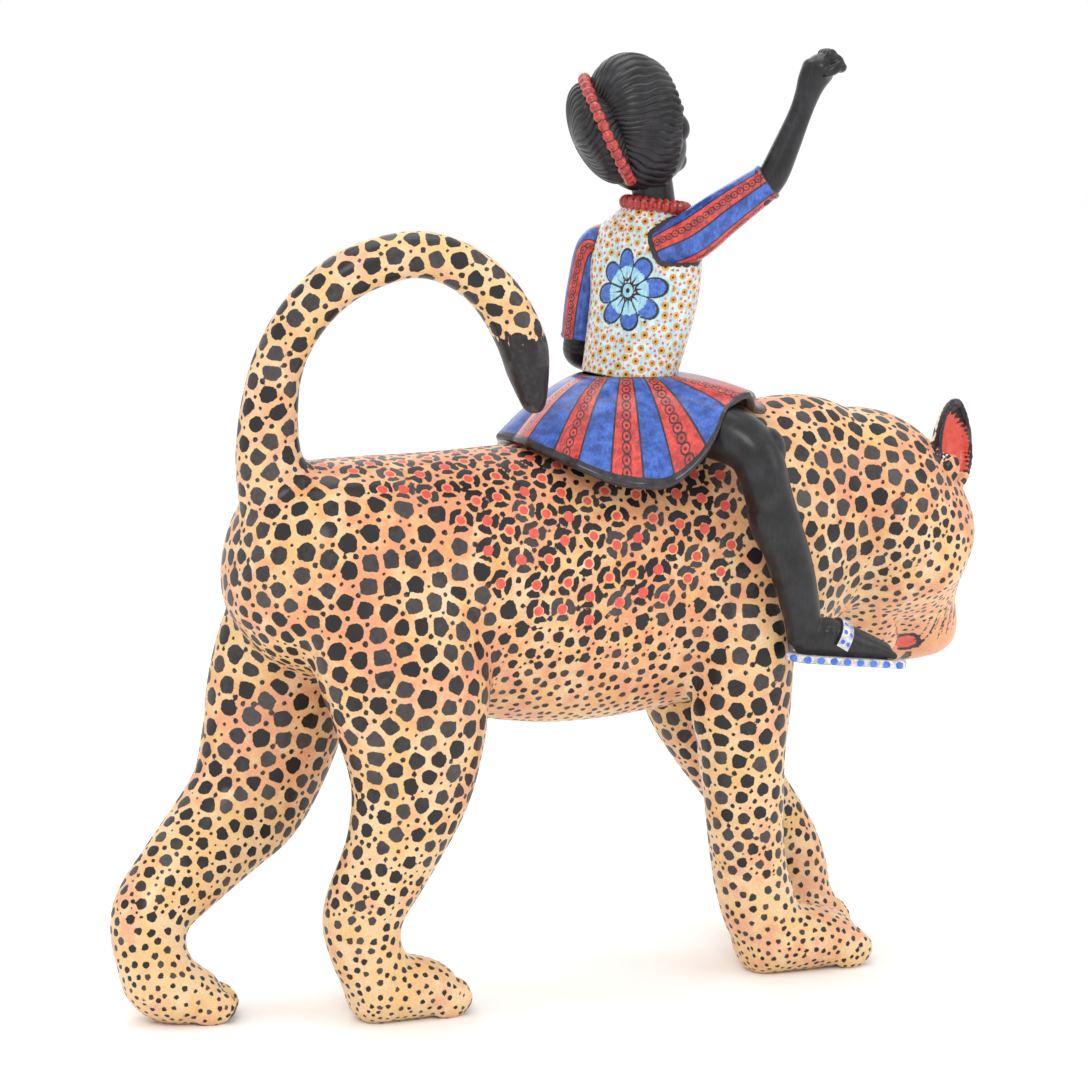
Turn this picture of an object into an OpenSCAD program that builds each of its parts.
// Glazed ceramic figure: a spotted leopard in mid stride, carrying a rider.
// Millimetres. +Z is up, +X runs towards the leopard's head, -Y is its right side.
// The origin lies on the ground, under the middle of the figure's plan.
// Pieces are luted face to face, so each one is cut by the piece it was set on.

/* [Leopard] */
// Length of the body from rump to chest
body_l = 300; // [250:1:350]
// Width of the body across the ribs
body_w = 90; // [75:1:105]
// Height of the back above the ground, at the seat
back_h = 232; // [194:1:270]
// Thickness of a foreleg, halfway down
leg_d = 34; // [29:1:40]
// Width of the head across the cheekbones
head_w = 100; // [84:1:116]
// Thickness of the tail at the top of its arch
tail_d = 21; // [17:0.5:25]
// Wall of the hollow body
wall = 7; // [5.5:0.5:8.5]

/* [Rider] */
// Height of the rider from the seat to the crown
rider_h = 157; // [132:1:182]
// Diameter of the skirt at its hem
skirt_d = 112; // [94:1:124]
// Wall of the skirt
skirt_t = 3; // [2.4:0.1:3.6]
// Diameter of the seat peg
peg_d = 22; // [18:0.5:26]
// Length of the peg below the back
peg_l = 24; // [20:1:28]

/* [Fits] */
// Radial gap between the peg and its socket
peg_gap = 0.4; // [0.3:0.05:0.5]
// Height of the seat over the back, as drawn
seat_gap = 0.3; // [0.25:0.05:0.4]
// Gap between the rider's calf and the widest part of the body
calf_gap = 3.6; // [3:0.1:4.2]

/* [Hidden] */
// Piece to draw

// Growth of each size over its nominal value: the paths below are written
// at the nominal sizes and follow these.
kx = body_l / 300;
ky = body_w / 90;
kz = back_h / 232;
kleg = leg_d / 34;
khead = head_w / 100;
ktail = tail_d / 21;
kr = rider_h / 157;

// Sides of a large and a small ring
sides = 24;
fine = 16;
coarse = 12;
eps = 0.01;
far = 600;

// Moves the paths so that the origin is under the middle of the plan
plan_shift = -1.5 * kx;

skin = [0.09, 0.09, 0.1];
coat = [0.93, 0.78, 0.52];
coat_dark = [0.87, 0.7, 0.45];
red = [0.78, 0.2, 0.16];
blue = [0.2, 0.33, 0.68];
sky = [0.7, 0.86, 0.88];
white = [0.93, 0.91, 0.88];

// ---------- paths and lofts ----------
// A path is a list of rings [x, y, z, half side, half depth].

function unit(v) = v / norm(v);
function spot(s) = [s[0], s[1], s[2]];
function ring_at(S, i) = S[min(max(i, 0), len(S) - 1)];
function blend(a, b, c, d, t) =
  0.5 * (2 * b + (c - a) * t + (2 * a - 5 * b + 4 * c - d) * t * t
  + (3 * b - a - 3 * c + d) * t * t * t);
function dense(S, n) = concat(
  [for (i = [0:len(S) - 2]) for (k = [0:n - 1])
    blend(ring_at(S, i - 1), S[i], S[i + 1], ring_at(S, i + 2), k / n)],
  [S[len(S) - 1]]
);
function heading(P, i) = unit(spot(ring_at(P, i + 1)) - spot(ring_at(P, i - 1)));
function side_of(T, up) = unit(cross(up, T));
function ring(P, i, m, up, k, push) =
  let (T = heading(P, i), A = side_of(T, up), B = cross(T, A), c = spot(P[i]) + T * push)
  [for (j = [0:m - 1]) c + A * P[i][3] * k * cos(360 * j / m) + B * P[i][4] * k * sin(360 * j / m)];

// Points of a loft with rounded ends that bulge by r0 and r1
function loft_points(P, m, up, r0, r1) =
  let (n = len(P) - 1)
  concat(
    [spot(P[0]) - heading(P, 0) * r0],
    ring(P, 0, m, up, 0.45, -r0 * 0.89),
    ring(P, 0, m, up, 0.8, -r0 * 0.6),
    [for (i = [0:n]) each ring(P, i, m, up, 1, 0)],
    ring(P, n, m, up, 0.8, r1 * 0.6),
    ring(P, n, m, up, 0.45, r1 * 0.89),
    [spot(P[n]) + heading(P, n) * r1]
  );
function loft_faces(rings, m) =
  let (last = rings * m + 1)
  concat(
    [for (j = [0:m - 1]) [0, 1 + j, 1 + (j + 1) % m]],
    [for (i = [0:rings - 2]) for (j = [0:m - 1])
      let (a = 1 + i * m + j, b = 1 + i * m + (j + 1) % m)
      each [[a, a + m, b], [b, a + m, b + m]]],
    [for (j = [0:m - 1])
      [last, 1 + (rings - 1) * m + (j + 1) % m, 1 + (rings - 1) * m + j]]
  );

module loft(S, n = 2, m = sides, up = [0, 0, 1], r0 = 0, r1 = 0) {
  P = dense(S, n);
  polyhedron(loft_points(P, m, up, r0, r1), loft_faces(len(P) + 4, m), convexity = 8);
}

// A spheroid of three half sizes, as latitude rings about Z
module spheroid(r, m = fine, rows = 8) {
  points = concat(
    [[0, 0, -r[2]]],
    [for (i = [1:rows - 1]) for (j = [0:m - 1])
      let (lat = -90 + 180 * i / rows)
      [r[0] * cos(lat) * cos(360 * j / m), r[1] * cos(lat) * sin(360 * j / m), r[2] * sin(lat)]],
    [[0, 0, r[2]]]
  );
  polyhedron(points, loft_faces(rows - 1, m), convexity = 4);
}

// Path of the leopard at its present size; kb grows the ring's depth
function body_path(S, kb, k = 1) =
  [for (s = S) [s[0] * kx + plan_shift, s[1] * ky, s[2] * kz, s[3] * ky * k, s[4] * kb * k]];
// The same path, thinner by a wall
function inner_path(S, t) = [for (s = S) [s[0], s[1], s[2], s[3] - t, s[4] - t]];

// ---------- leopard ----------
trunk_rings = [
  [-139, 0, 190, 26, 28],
  [-125, 0, 187, 38, 40],
  [-105, 0, 183, 43, 45.5],
  [-75, 0, 178, 45, 50.5],
  [-40, 0, 173, 45, 56.5],
  [-5, 0, 170.5, 44, 60],
  [32, 0, 172, 44, 60],
  [62, 0, 177, 44, 60.5],
  [86, 0, 184, 42, 59],
  [106, 1, 191, 37, 54.5],
  [124, 4, 195, 34, 50],
  [138, 8, 197, 31, 43],
];
trunk_path = body_path(trunk_rings, kz);
cavity_path = inner_path([for (i = [1:len(trunk_path) - 2]) trunk_path[i]], wall);
seat_x = 32 * kx + plan_shift;

module trunk_form() {
  loft(trunk_path, 2, sides + 4, [0, 0, 1], 8 * kx, 6);
}

module trunk_cavity() {
  loft(cavity_path, 1, fine, [0, 0, 1], 4, 4);
}

// Vent from the body into a leg, so that the leg could be fired
vent_d = 5;
module vent(x, y, z) {
  translate([x * kx + plan_shift, y * ky, z * kz])
    rotate([90, 0, 0])
      cylinder(d = vent_d, h = 44, center = true);
}
module leg_vents() {
  vent(74, -28, 158);
  vent(66, 28, 158);
  vent(-86, -28, 166);
  vent(-102, 28, 172);
}

collar_t = 6;
module socket_bore(d) {
  translate([seat_x, 0, back_h - peg_l - 8])
    cylinder(d = d, h = peg_l + 40);
}
module socket_collar_form() {
  translate([seat_x, 0, back_h - peg_l])
    cylinder(d = peg_d + 2 * peg_gap + 2 * collar_t, h = peg_l);
}

module trunk() {
  color(coat)
    difference() {
      trunk_form();
      trunk_cavity();
      socket_bore(peg_d + 2 * peg_gap);
      leg_vents();
    }
}

module socket_collar() {
  color(coat_dark)
    difference() {
      intersection() {
        socket_collar_form();
        trunk_cavity();
      }
      socket_bore(peg_d + 2 * peg_gap);
    }
}

// Head, in its own frame: +X to the nose, turned left and lowered
head_at = [150 * kx + plan_shift, 12 * ky, 188.5 * kz];
head_turn = 34;
head_drop = 42;
module on_head() {
  translate(head_at)
    rotate([0, head_drop, head_turn])
      scale(khead)
        children();
}
head_rings = [
  [-40, 0, 0, 29, 28],
  [-22, 0, 1, 41, 39.5],
  [-2, 0, 1, 47, 43.5],
  [15, 0, -2, 50, 42.5],
  [28, 0, -5, 45, 37],
  [40, 0, -8, 35, 28],
  [52, 0, -11, 29.5, 22],
  [66, 0, -13, 28, 19.5],
  [75, 0, -14, 23, 15.5],
];
module head_form() {
  on_head() loft(head_rings, 2, sides, [0, 0, 1], 7, 5);
}
module head() {
  cavity = inner_path([for (i = [1:6]) head_rings[i]], wall);
  color(coat)
    difference() {
      head_form();
      on_head() loft(cavity, 1, coarse, [0, 0, 1], 3, 3);
      trunk_form();
      right_eye_form();
      mirror_eye();
    }
}
module jaw() {
  color(coat_dark)
    difference() {
      on_head()
        loft([[16, 0, -33, 22, 11], [36, 0, -35, 18, 9], [50, 0, -35.5, 14, 7.5], [57, 0, -35, 11, 6]],
          2, fine, [0, 0, 1], 6, 5);
      head_form();
      trunk_form();
    }
}
module nose() {
  color(skin)
    difference() {
      on_head() translate([78, 0, -5]) spheroid([6, 9.5, 6], coarse, 6);
      head_form();
    }
}
eye_at = [36, 32.5, 3];
eye_r = 6.5;
module right_eye_form() {
  on_head() translate([eye_at[0], -eye_at[1], eye_at[2]]) sphere(r = eye_r);
}
module mirror_eye() {
  on_head() translate(eye_at) sphere(r = eye_r);
}
module right_eye() {
  color(white) right_eye_form();
}
module left_eye() {
  color(white) mirror_eye();
}

// Ear: a leaf-shaped cup that opens sideways and a little forward
ear_size = [14.5, 9.5, 21];
ear_t = 2.6;
module ear_cup(hand) {
  difference() {
    on_head()
      translate([-8, hand * 39, 34.5])
        rotate([-hand * 16, -28, 0])
          difference() {
            spheroid(ear_size, fine, 10);
            spheroid(ear_size - [ear_t, ear_t, ear_t], fine, 8);
            translate([0, hand * (far / 2 + 1), 0])
              cube(far, center = true);
          }
    head_form();
    trunk_form();
  }
}
module right_ear() {
  color(red) ear_cup(-1);
}
module left_ear() {
  color(red) ear_cup(1);
}

// Legs run down their paths; the first ring lies inside the body
right_fore_rings = [
  [74, -22, 168, 20, 25],
  [70, -31, 146, 22, 22.5],
  [69, -34, 119, 19, 21],
  [68.5, -33.5, 98, 17.5, 19.4],
  [70, -33, 80, 16.5, 17.8],
  [71.5, -32, 62, 16, 16.7],
  [75, -31, 41, 16, 16.5],
  [81, -31, 22, 16.5, 16.5],
];
left_fore_rings = [
  [70, 20, 164, 20, 25],
  [68, 28, 136, 20, 22],
  [76, 29, 109, 19, 20.5],
  [86, 27, 90, 18, 19],
  [105, 24, 63, 17, 17.8],
  [119.5, 21, 40, 16.3, 16.6],
  [125, 19.5, 22, 16, 16],
];
right_hind_rings = [
  [-87, -22, 180, 24, 35],
  [-86, -29, 152, 26, 37],
  [-83.5, -33, 132, 25, 34.5],
  [-83, -34, 99, 20.5, 27],
  [-91.5, -33, 71, 17, 20.3],
  [-104, -32, 46, 15, 17.2],
  [-103.5, -31.5, 32, 14.5, 15.5],
  [-99, -31, 19, 14, 14.5],
];
left_hind_rings = [
  [-98, 18, 182, 22, 33],
  [-111, 23, 154, 23, 32],
  [-118, 25, 131, 23, 31],
  [-121, 26, 112, 22, 30],
  [-131, 25, 87, 19, 26.5],
  [-146, 21, 73, 17.5, 22.5],
  [-166, 15, 57, 16, 19],
  [-180, 11, 44, 15, 16.5],
  [-182, 8, 31, 14.5, 15.5],
  [-180, 6, 23, 14.5, 14.5],
];
// The raised ankle runs on inside its paw, so that its end stays covered
left_hind_end = [-178.5, 5, 13, 11, 11];
module leg_form(S) {
  loft(body_path(S, kx, kleg), 2, 20, [1, 0, 0], 6, 4);
}
module leg_hollow(S) {
  P = body_path(S, kx, kleg);
  loft(inner_path([for (i = [0:len(P) - 4]) P[i]], wall), 1, coarse, [1, 0, 0], 2, 2);
}
module leg(S, end = []) {
  difference() {
    leg_form(concat(S, end));
    leg_hollow(S);
    trunk_form();
    children();
  }
}

right_forepaw_rings = [
  [77, -31, 13, 16, 14.5],
  [90, -30.5, 13.6, 18.5, 15],
  [106, -30, 12.4, 20, 14],
  [117, -29.5, 10.4, 19, 12],
];
left_forepaw_rings = [
  [107, 19.5, 12, 15, 13.5],
  [117, 19, 13.4, 17.5, 15],
  [127, 18.5, 12.6, 18.5, 14],
  [135, 18.5, 10.6, 17, 12],
];
right_hindpaw_rings = [
  [-103, -31.5, 12, 15, 13.5],
  [-91, -31, 12.6, 16.5, 14],
  [-79, -30.5, 11.4, 17.5, 12.8],
  [-71, -30, 9.6, 16, 11],
];
left_hindpaw_rings = [
  [-183, 7, 26, 14, 13.5],
  [-179, 4, 17, 16.5, 15.5],
  [-171, 2, 12, 17.5, 14],
  [-161, 1, 9, 16.5, 10.5],
];
module paw(S) {
  difference() {
    loft(body_path(S, kz, kleg), 2, 20, [0, 0, 1], 8, 7);
    translate([0, 0, -far / 2]) cube(far, center = true);
  }
}

module right_forepaw() {
  color(coat_dark) paw(right_forepaw_rings);
}
module left_forepaw() {
  color(coat_dark) paw(left_forepaw_rings);
}
module right_hindpaw() {
  color(coat_dark) paw(right_hindpaw_rings);
}
module left_hindpaw() {
  color(coat_dark) paw(left_hindpaw_rings);
}
module right_foreleg() {
  color(coat) leg(right_fore_rings) paw(right_forepaw_rings);
}
module left_foreleg() {
  color(coat) leg(left_fore_rings) paw(left_forepaw_rings);
}
module right_hindleg() {
  color(coat) leg(right_hind_rings) paw(right_hindpaw_rings);
}
module left_hindleg() {
  color(coat) leg(left_hind_rings, [left_hind_end]) paw(left_hindpaw_rings);
}

// Tail: rises from the rump, arches forward and ends beside the skirt
tail_rings = [
  [-122, 0, 198, 18, 18],
  [-129, 0, 218, 15, 15.4],
  [-131.5, -1, 237, 13, 13.3],
  [-129.5, -3, 260.5, 11.2, 11.5],
  [-124.5, -7, 277, 10.5, 10.8],
  [-114, -11, 292.5, 10.5, 10.8],
  [-99, -16, 304.5, 10.5, 10.7],
  [-76, -22, 311, 10, 10],
  [-58, -27, 306, 10, 10.1],
  [-44, -31, 294, 10.4, 10.7],
  [-34.5, -34.5, 276, 10.4, 10.9],
  [-32, -35.5, 264, 9.4, 9.8],
  [-30, -36, 253, 6.5, 7],
];
tail_path = [for (s = tail_rings)
  [s[0] * kx + plan_shift, s[1] * ky, (s[2] - 232) + back_h, s[3] * ktail, s[4] * ktail]];
module tail() {
  color(coat)
    difference() {
      loft(tail_path, 2, fine, [0, 1, 0], 4, 9);
      trunk_form();
    }
}

// ---------- rider ----------
// Paths are written from the seat's centre on the back
seat_at = [seat_x, 0, back_h];
module on_seat() {
  translate(seat_at) children();
}
function rider_path(S, k = 1) = [for (s = S) kr * [s[0], s[1], s[2], s[3] * k, s[4] * k]];

// The rider's chest is turned to the left of the leopard's path
chest_turn = 30;
facing = [cos(chest_turn), sin(chest_turn), 0];

// Everything of the leopard that the seat has to stand clear of
module back_clear() {
  translate([0, 0, seat_gap]) trunk_form();
}

waist_z = 22 * kr;
vent_r = 5;
module seat_form() {
  translate([-1.5 * kr, 0, 0])
    loft(rider_path([[0, 0, -9, 19, 19], [0, 0, 4, 21, 20], [0, 0, 22, 20, 17.5]]),
      2, fine, facing);
}
module seat() {
  color(blue)
    union() {
      difference() {
        on_seat() seat_form();
        back_clear();
        on_seat() cylinder(r = vent_r, h = far, center = true);
      }
      on_seat()
        translate([0, 0, -peg_l])
          difference() {
            cylinder(d = peg_d, h = peg_l + 4);
            cylinder(r = vent_r, h = far, center = true);
          }
    }
}

// Skirt: a flared shell whose hem rides up over the back, fore and aft
pleats = 14;
skirt_sides = 56;
skirt_rows = 5;
hem_r = skirt_d / 2;
waist_r = 19 * kr;
// The hem follows the line of the back: it rises with its height, and
// sooner over a shorter body
hem_mid = -4.5 * kz;
hem_tip = 6.5 * kz / pow(kx, 2);
hem_wave = 12 * kz;
// The hem is lifted over both thighs, which leave the skirt at this angle
thigh_at = 63;
thigh_lift = 27;
thigh_span = 24;
function over_thigh(f) = exp(-pow(f / thigh_span, 2));
function hem_z(f) = hem_mid + hem_tip * cos(f) + hem_wave * cos(2 * f)
  + thigh_lift * (over_thigh(f - thigh_at) + over_thigh(f - 360 + thigh_at));
function skirt_point(f, t, inset) =
  let (
    wave = 1.3 * t * cos(pleats * f),
    r = waist_r + (hem_r - waist_r) * pow(t, 0.8) + wave - inset * 0.45,
    top = waist_z + 3,
    z = top + (hem_z(f) - top) * pow(t, 1.25) - inset * 0.9
  )
  [-1.5 * kr * (1 - t) + r * cos(f), r * sin(f), z];
function skirt_ring(t, inset) =
  [for (j = [0:skirt_sides - 1]) skirt_point(360 * j / skirt_sides, t, inset)];
module skirt_shell() {
  n = skirt_rows;
  m = skirt_sides;
  points = concat(
    [for (i = [0:n]) each skirt_ring(i / n, 0)],
    [for (i = [0:n]) each skirt_ring(1 - i / n, skirt_t)]
  );
  rings = 2 * (n + 1);
  faces = [for (i = [0:rings - 1]) for (j = [0:m - 1])
    let (a = i * m + j, b = i * m + (j + 1) % m, c = ((i + 1) % rings) * m + j,
      d = ((i + 1) % rings) * m + (j + 1) % m)
    each [[a, b, c], [b, d, c]]];
  polyhedron(points, faces, convexity = 8);
}
module skirt() {
  color(blue)
    difference() {
      on_seat() skirt_shell();
      on_seat() seat_form();
      on_seat() bodice_form();
      on_seat() leg_cut(-1);
      on_seat() leg_cut(1);
    }
}

bodice_rings = [
  [-1.5, 0, 22, 20.5, 17.5],
  [1.5, 0, 35, 22, 17.5],
  [6, 0, 56, 24.5, 17.5],
  [7, 0, 71, 26, 16.5],
  [8.5, 0, 82, 24, 14.5],
  [10, 0, 89, 17, 12.5],
  [11.5, 0, 94, 11.5, 11],
];
module bodice_form() {
  loft(rider_path(bodice_rings), 2, 20, facing);
}
module bodice() {
  color(sky)
    difference() {
      on_seat() bodice_form();
      on_seat() cylinder(r = vent_r, h = 62 * kr);
      on_seat() seat_form();
      on_seat() leg_form_rider(-1);
      on_seat() leg_form_rider(1);
    }
}

neck_r = 9.5 * kr;
skull_at = kr * [4.5, 1, 129];
skull_r = kr * [20.5, 20, 28];
face_turn = 12;
face_lift = -22;
module on_skull() {
  on_seat()
    translate(skull_at)
      rotate([0, face_lift, face_turn])
        children();
}
module skull_form() {
  on_skull() spheroid(skull_r, 20, 12);
}
module neck() {
  color(skin)
    difference() {
      on_seat() translate(kr * [11, 0, 90]) cylinder(r = neck_r, h = 24 * kr);
      on_seat() bodice_form();
      skull_form();
      face_forms();
      hair_form();
      puff_form();
      band_form();
    }
}
// Face of a plain, calm design: nose, lips and chin as soft forms
module face_forms() {
  on_skull() translate(kr * [19.5, 0, -5]) spheroid(kr * [4.4, 3.2, 6], coarse, 6);
  on_skull() translate(kr * [16.8, 0, -14]) spheroid(kr * [4, 5.4, 2.8], coarse, 6);
  on_skull() translate(kr * [11.5, 0, -21.5]) spheroid(kr * [6, 7, 5.5], coarse, 6);
}
module rider_head() {
  color(skin)
    union() {
      skull_form();
      face_forms();
    }
}
hair_t = 2 * kr;
module hair_form() {
  on_skull()
    difference() {
      translate(kr * [-1, 0, 0.6]) spheroid(skull_r + [hair_t, hair_t, hair_t], 20, 12);
      rotate([0, 22, 0]) translate([far / 2 + 8.5 * kr, 0, 0]) cube(far, center = true);
    }
}
module hair() {
  color(skin)
    difference() {
      hair_form();
      skull_form();
      face_forms();
      band_form();
    }
}
// The band holds the hair back, and the puff stands behind it
band_at = kr * [-11, 0, 127];
band_r = 22.7 * kr;
band_t = 2.2 * kr;
band_swing = 152;
band_tip = 65;
module on_band() {
  on_seat()
    translate(band_at)
      rotate([0, 0, band_swing])
        rotate([0, 180 - band_tip, 0])
          children();
}
module band_form() {
  on_band() rotate_extrude($fn = 48) translate([band_r, 0]) circle(r = band_t, $fn = 24);
}
module puff_form() {
  on_band() translate([0, 0, 3 * kr]) spheroid(kr * [22, 21.5, 11.5], 20, 10);
}
module headband() {
  color(red)
    difference() {
      band_form();
      skull_form();
    }
}
module hair_puff() {
  color(skin)
    difference() {
      puff_form();
      skull_form();
      hair_form();
      band_form();
    }
}
module necklace_form() {
  on_seat()
    translate(kr * [11.5, 0, 93.5])
      rotate([0, 8, 0])
        rotate_extrude($fn = 40)
          translate([12 * kr, 0])
            circle(r = 2.4 * kr, $fn = 24);
}
module necklace() {
  color(red)
    difference() {
      necklace_form();
      on_seat() bodice_form();
      on_seat() translate(kr * [11, 0, 80]) cylinder(r = neck_r, h = 40 * kr);
      skull_form();
      hair_form();
      puff_form();
    }
}

right_sleeve_rings = [
  [8, -13, 77, 9, 9],
  [17, -20.5, 82.5, 10.2, 10.4],
  [28.5, -27.5, 92.5, 9.2, 9.4],
  [38.5, -34, 101, 8.1, 8.2],
  [44.5, -38, 106, 7.4, 7.4],
];
right_forearm_rings = [
  [42, -37, 102, 6, 6],
  [46.5, -39, 109, 6.2, 6.2],
  [51, -41, 120, 5.6, 5.6],
  [56, -43, 133, 4.8, 4.8],
  [58.8, -44, 141, 4.9, 4.9],
];
module right_sleeve_form() {
  on_seat() loft(rider_path(right_sleeve_rings), 2, fine, [0, 0, 1], 2);
}
module right_sleeve() {
  color(blue)
    difference() {
      right_sleeve_form();
      on_seat() bodice_form();
    }
}
module right_forearm() {
  color(skin)
    difference() {
      on_seat() loft(rider_path(right_forearm_rings), 2, coarse, [1, 0, 0], 1, 1);
      right_sleeve_form();
    }
}
module right_fist() {
  color(skin)
    difference() {
      on_seat()
        loft(rider_path([[58.8, -44, 141, 4.9, 4.9], [61, -44.5, 147, 6.4, 7.6], [64.5, -45.5, 153, 7, 9.8],
          [67.5, -46, 156.5, 6.2, 9.2]]), 2, fine, [0.1, 1, 0], 0, 3 * kr);
      on_seat() loft(rider_path(right_forearm_rings), 2, coarse, [1, 0, 0], 1, 1);
    }
}

left_sleeve_rings = [
  [2, 13, 78, 8.6, 8.6],
  [-5, 21, 76.5, 8.8, 9],
  [-8.5, 25, 60, 8.2, 8.4],
  [-10, 27.5, 46, 7.7, 7.8],
  [-10.5, 28.5, 38, 7.4, 7.4],
];
left_forearm_rings = [
  [-10.5, 28.5, 40, 6, 6],
  [-10.5, 30, 32.5, 6.2, 6.2],
  [-3, 34.5, 28.5, 6, 5.8],
  [8, 38, 27, 5.2, 5],
  [18, 40, 25.5, 4.8, 4.6],
];
left_hand_rings = [
  [18, 40, 25.5, 4.8, 4.6],
  [25, 41, 23, 6.4, 4.4],
  [33, 41.5, 19.5, 6.4, 3.6],
];
module left_sleeve_form() {
  on_seat() loft(rider_path(left_sleeve_rings), 2, fine, [1, 0, 0], 2);
}
module left_sleeve() {
  color(blue)
    difference() {
      left_sleeve_form();
      on_seat() bodice_form();
    }
}
module left_forearm_form() {
  on_seat() loft(rider_path(left_forearm_rings), 2, coarse, [0, 0, 1], 1, 1);
}
module left_forearm() {
  color(skin)
    difference() {
      left_forearm_form();
      left_sleeve_form();
      on_seat() bodice_form();
      on_seat() skirt_shell();
    }
}
module left_hand() {
  color(skin)
    difference() {
      on_seat() loft(rider_path(left_hand_rings), 2, coarse, [0, 0, 1], 0, 4 * kr);
      left_forearm_form();
      // The hand lies on the skirt, with nothing of it under the cloth
      for (under = [0, skirt_t * 0.8]) translate([0, 0, -under]) on_seat() skirt_shell();
      on_seat() leg_form_rider(1);
    }
}

// A rider's leg: over the back, down past the widest part of the body
calf_r = 9.4 * kr;
// A foreleg that is thicker than drawn pushes the calves and soles out with it
fore_swell = max(0, 22 * ky * (kleg - 1));
leg_y = body_w / 2 + calf_gap + calf_r + fore_swell;
leg_rings = [
  [-2, 0.2, 10, 14, 14],
  [9, 0.45, 8, 13.6, 13.6],
  [20, 0.72, 4, 12.5, 12.5],
  [28, 0.91, -2, 11.2, 11.3],
  [31.5, 0.985, -10, 10.3, 10.5],
  [35.6, 1, -24, 9.7, 9.9],
  [45.4, 1, -51, 9.2, 9.4],
  [50.5, 1.02, -72, 7.6, 8],
  [51.5, 1.03, -84, 6.6, 7],
];
// The left foot hangs further back, so that it passes the leopard's cheek
// when the rider is lifted off
left_back = 16;
function drawn_back(hand, z) = hand > 0 ? left_back * max(0, (4 - z) / 92.5) : 0;
function leg_path(hand) = [for (s = leg_rings)
  [(s[0] - drawn_back(hand, s[2])) * kr, hand * s[1] * leg_y, s[2] * kr, s[3] * kr, s[4] * kr]];
module leg_form_rider(hand) {
  loft(leg_path(hand), 2, fine, [1, 0, 0], 3, 2);
}
// Room for the thigh under the skirt, so that the hem stands free of it
module leg_cut(hand) {
  leg_form_rider(hand);
}
module rider_leg(hand) {
  difference() {
    on_seat() leg_form_rider(hand);
    back_clear();
    on_seat() seat_form();
    on_foot(hand) foot_form();
  }
}

// Foot and sandal, in a frame at the heel with the sole's top at zero
foot_tip = 7;
sole_t = 3.2 * kr;
sole_l = 57 * kr;
sole_w = 18 * kr;
module on_foot(hand) {
  on_seat()
    translate([(43.5 - drawn_back(hand, -88.5)) * kr, hand * leg_y * 1.035, -88.5 * kr])
      rotate([0, foot_tip, 0])
        children();
}
module foot_loft(grow) {
  loft(rider_path([[7, 0, 6.5, 6.8 + grow, 7.4 + grow], [18, 0, 7.5, 7.4 + grow, 8.4 + grow],
    [33, 0, 5.4, 8 + grow, 6.2 + grow], [47, 0, 3.4, 7.4 + grow, 4.2 + grow]]),
    2, fine, [0, 0, 1], (5 + grow) * kr, (6 + grow) * kr);
}
module foot_form() {
  difference() {
    foot_loft(0);
    translate([0, 0, -far / 2]) cube(far, center = true);
  }
}
module sandal_sole() {
  translate([0, 0, -sole_t])
    linear_extrude(sole_t)
      union() {
        translate([sole_w * 0.44, 0]) circle(r = sole_w * 0.44, $fn = 40);
        translate([sole_w * 0.44, -sole_w * 0.42]) square([sole_l - sole_w * 0.94, sole_w * 0.84]);
        translate([sole_l - sole_w / 2, 0]) circle(r = sole_w / 2, $fn = 40);
      }
}
strap_w = 6.5 * kr;
module sandal_strap() {
  difference() {
    intersection() {
      foot_loft(1.5);
      translate([19 * kr, 0, 0])
        rotate([0, 24, 0])
          cube([strap_w, far, 60 * kr], center = true);
    }
    foot_loft(0);
    translate([0, 0, -far / 2]) cube(far, center = true);
  }
}

module right_leg() {
  color(skin) rider_leg(-1);
}
module left_leg() {
  color(skin) rider_leg(1);
}
module right_foot() {
  color(skin) on_foot(-1) foot_form();
}
module left_foot() {
  color(skin) on_foot(1) foot_form();
}
module right_sole() {
  color(white) on_foot(-1) sandal_sole();
}
module left_sole() {
  color(white) on_foot(1) sandal_sole();
}
module right_strap() {
  color(sky)
    difference() {
      on_foot(-1) sandal_strap();
      on_seat() leg_form_rider(-1);
    }
}
module left_strap() {
  color(sky)
    difference() {
      on_foot(1) sandal_strap();
      on_seat() leg_form_rider(1);
    }
}

// ---------- drawing ----------
trunk();
socket_collar();
head();
jaw();
nose();
right_eye();
left_eye();
right_ear();
left_ear();
right_foreleg();
left_foreleg();
right_hindleg();
left_hindleg();
right_forepaw();
left_forepaw();
right_hindpaw();
left_hindpaw();
tail();
seat();
skirt();
bodice();
neck();
rider_head();
hair();
hair_puff();
headband();
necklace();
right_sleeve();
right_forearm();
right_fist();
left_sleeve();
left_forearm();
left_hand();
right_leg();
left_leg();
right_foot();
left_foot();
right_sole();
left_sole();
right_strap();
left_strap();
